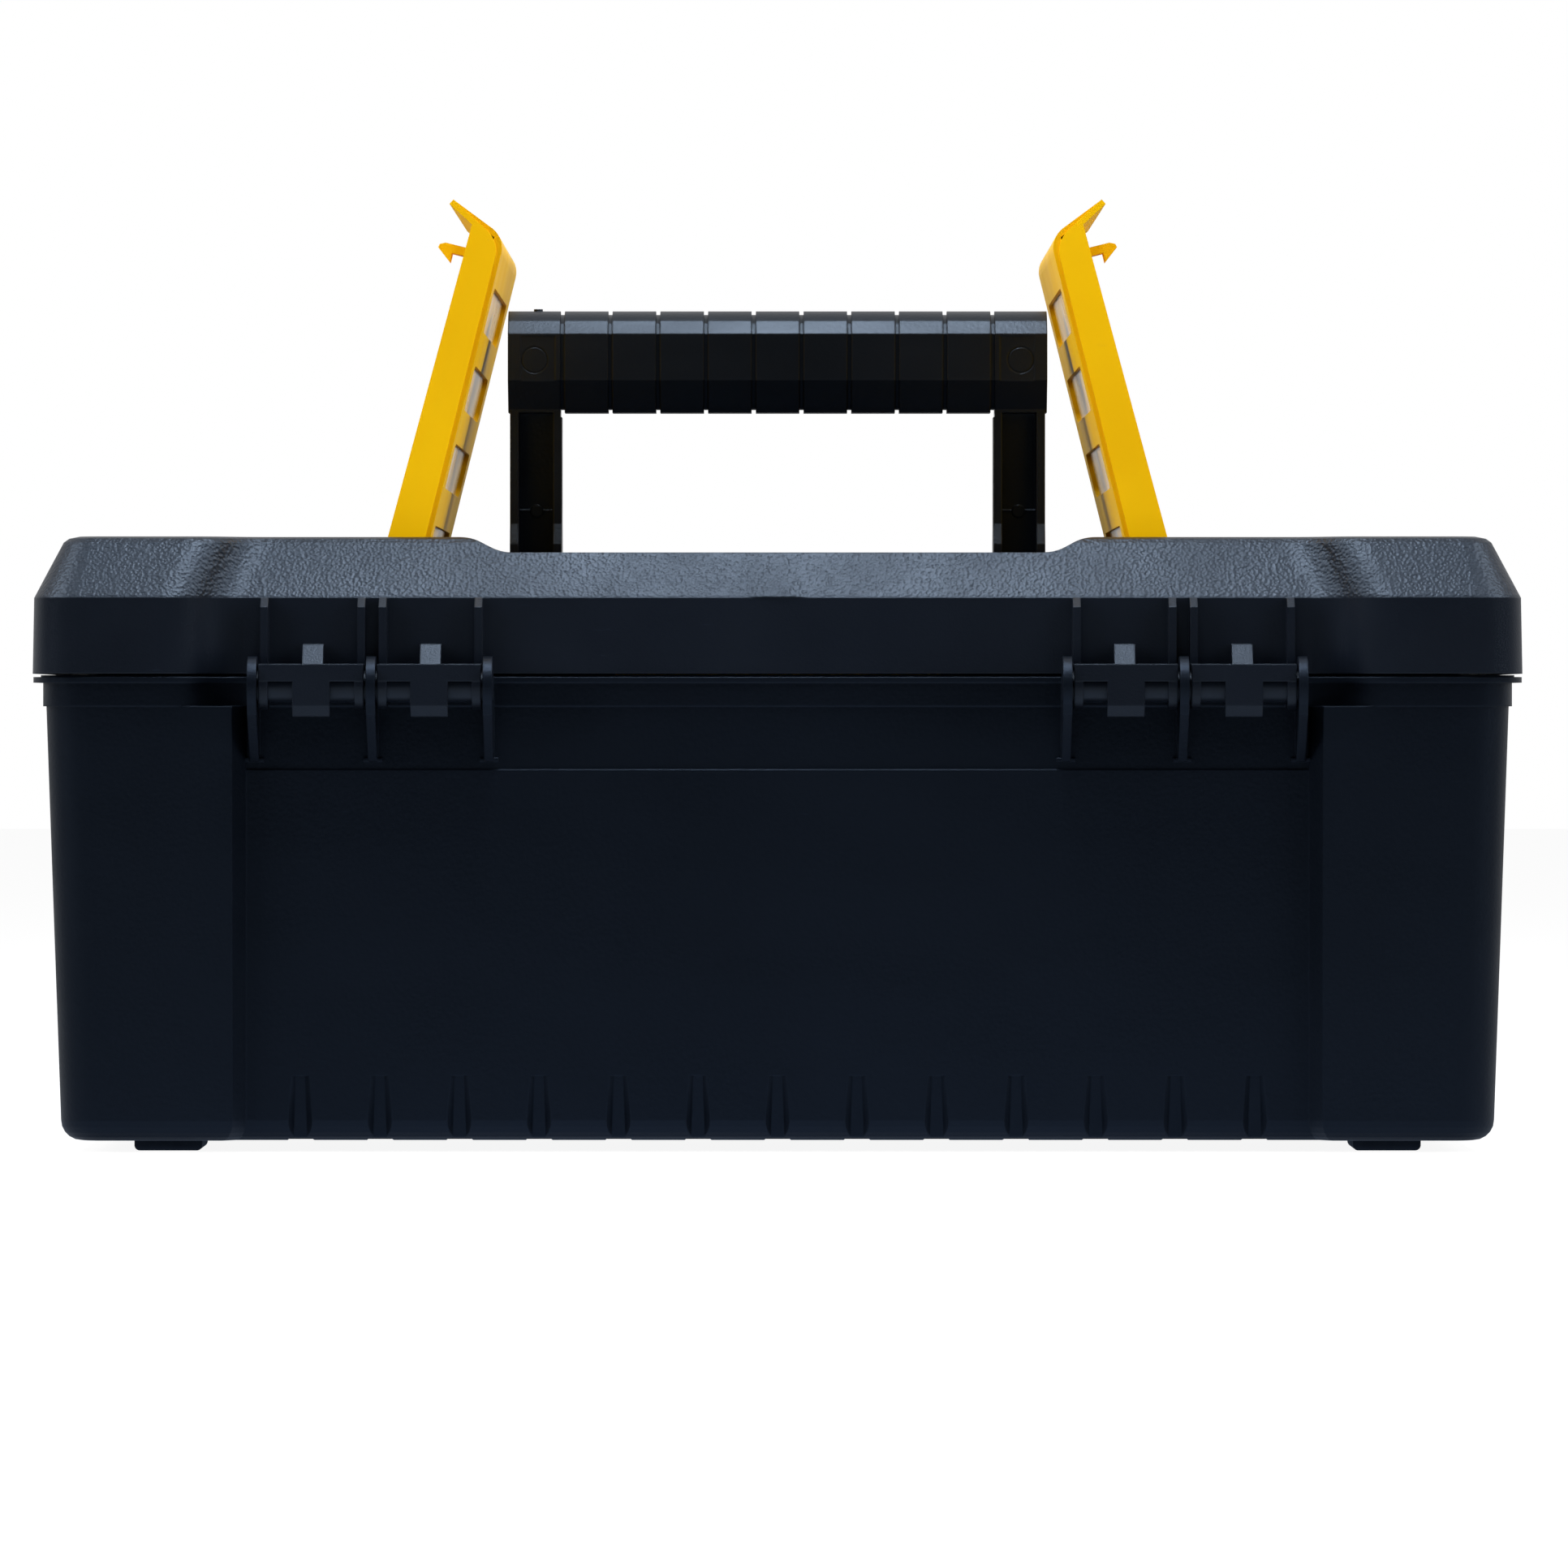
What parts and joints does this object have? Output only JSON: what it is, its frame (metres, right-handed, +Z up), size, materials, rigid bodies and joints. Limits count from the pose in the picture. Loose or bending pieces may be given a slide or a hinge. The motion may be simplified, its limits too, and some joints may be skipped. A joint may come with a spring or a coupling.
{
  "type": "toolbox with tray",
  "caption": "Plastic toolbox with a hinged lid, organizer flaps in the lid, a folding carry handle, front latches and a lift-out tray.",
  "frame": {"origin": "on the ground under the feet, at the middle of the overall box", "axes": "+X along the box, +Y towards the latches at the front, +Z up; the rear hinges are at -Y"},
  "size_m": [0.3204, 0.188, 0.2058],
  "materials": {
    "case_plastic": "fine grain",
    "yellow_plastic": "satin",
    "handle_plastic": "fine grain",
    "tray_plastic": "satin",
    "pin_plastic": "satin",
    "badge_plastic": "satin",
    "foot_rubber": "matt"
  },
  "bodies": {
    "base": {"body_shell": "case_plastic", "foot_rear_left": "foot_rubber", "foot_rear_right": "foot_rubber", "foot_front_left": "foot_rubber", "foot_front_right": "foot_rubber", "hinge_pin_left": "pin_plastic", "hinge_pin_right": "pin_plastic", "front_badge": "badge_plastic"},
    "lid": {"lid_shell": "case_plastic", "handle_pin_left": "pin_plastic", "handle_pin_right": "pin_plastic", "organizer_pin_left": "pin_plastic", "organizer_pin_right": "pin_plastic", "latch_pin_left": "pin_plastic", "latch_pin_right": "pin_plastic"},
    "carry_handle": {"handle": "handle_plastic"},
    "organizer_flap_left": {"organizer_lid_left": "yellow_plastic"},
    "organizer_flap_right": {"organizer_lid_right": "yellow_plastic"},
    "front_latch_left": {"latch_left": "yellow_plastic"},
    "front_latch_right": {"latch_right": "yellow_plastic"},
    "lift_out_tray": {"tray": "tray_plastic", "tray_handle": "yellow_plastic", "tray_divider_left": "tray_plastic", "tray_divider_right": "tray_plastic"}
  },
  "joints": [
    {"name": "lid_open", "type": "hinge", "parent": "base", "child": "lid", "pos_m": [0, -0.0875, 0.1001], "axis": [1, 0, 0], "range_deg": [0, 105]},
    {"name": "handle_fold", "type": "hinge", "parent": "lid", "child": "carry_handle", "pos_m": [0, 0, 0.122], "axis": [1, 0, 0], "range_deg": [0, 90]},
    {"name": "organizer_left_close", "type": "hinge", "parent": "lid", "child": "organizer_flap_left", "pos_m": [-0.0808, 0, 0.127], "axis": [0, -1, 0], "range_deg": [0, 104]},
    {"name": "organizer_right_close", "type": "hinge", "parent": "lid", "child": "organizer_flap_right", "pos_m": [0.0808, 0, 0.127], "axis": [0, 1, 0], "range_deg": [0, 104]},
    {"name": "latch_left_open", "type": "hinge", "parent": "lid", "child": "front_latch_left", "pos_m": [-0.084, 0.0884, 0.1115], "axis": [1, 0, 0], "range_deg": [0, 100]},
    {"name": "latch_right_open", "type": "hinge", "parent": "lid", "child": "front_latch_right", "pos_m": [0.084, 0.0884, 0.1115], "axis": [1, 0, 0], "range_deg": [0, 100]},
    {"name": "tray_lift", "type": "slide", "parent": "base", "child": "lift_out_tray", "axis": [0, 0, 1], "range_m": [0, 0.083]}
  ],
  "couplings": [
    {"joint": "tray_lift", "follows": "lid_open", "m_per_rad": 0.045}
  ]
}
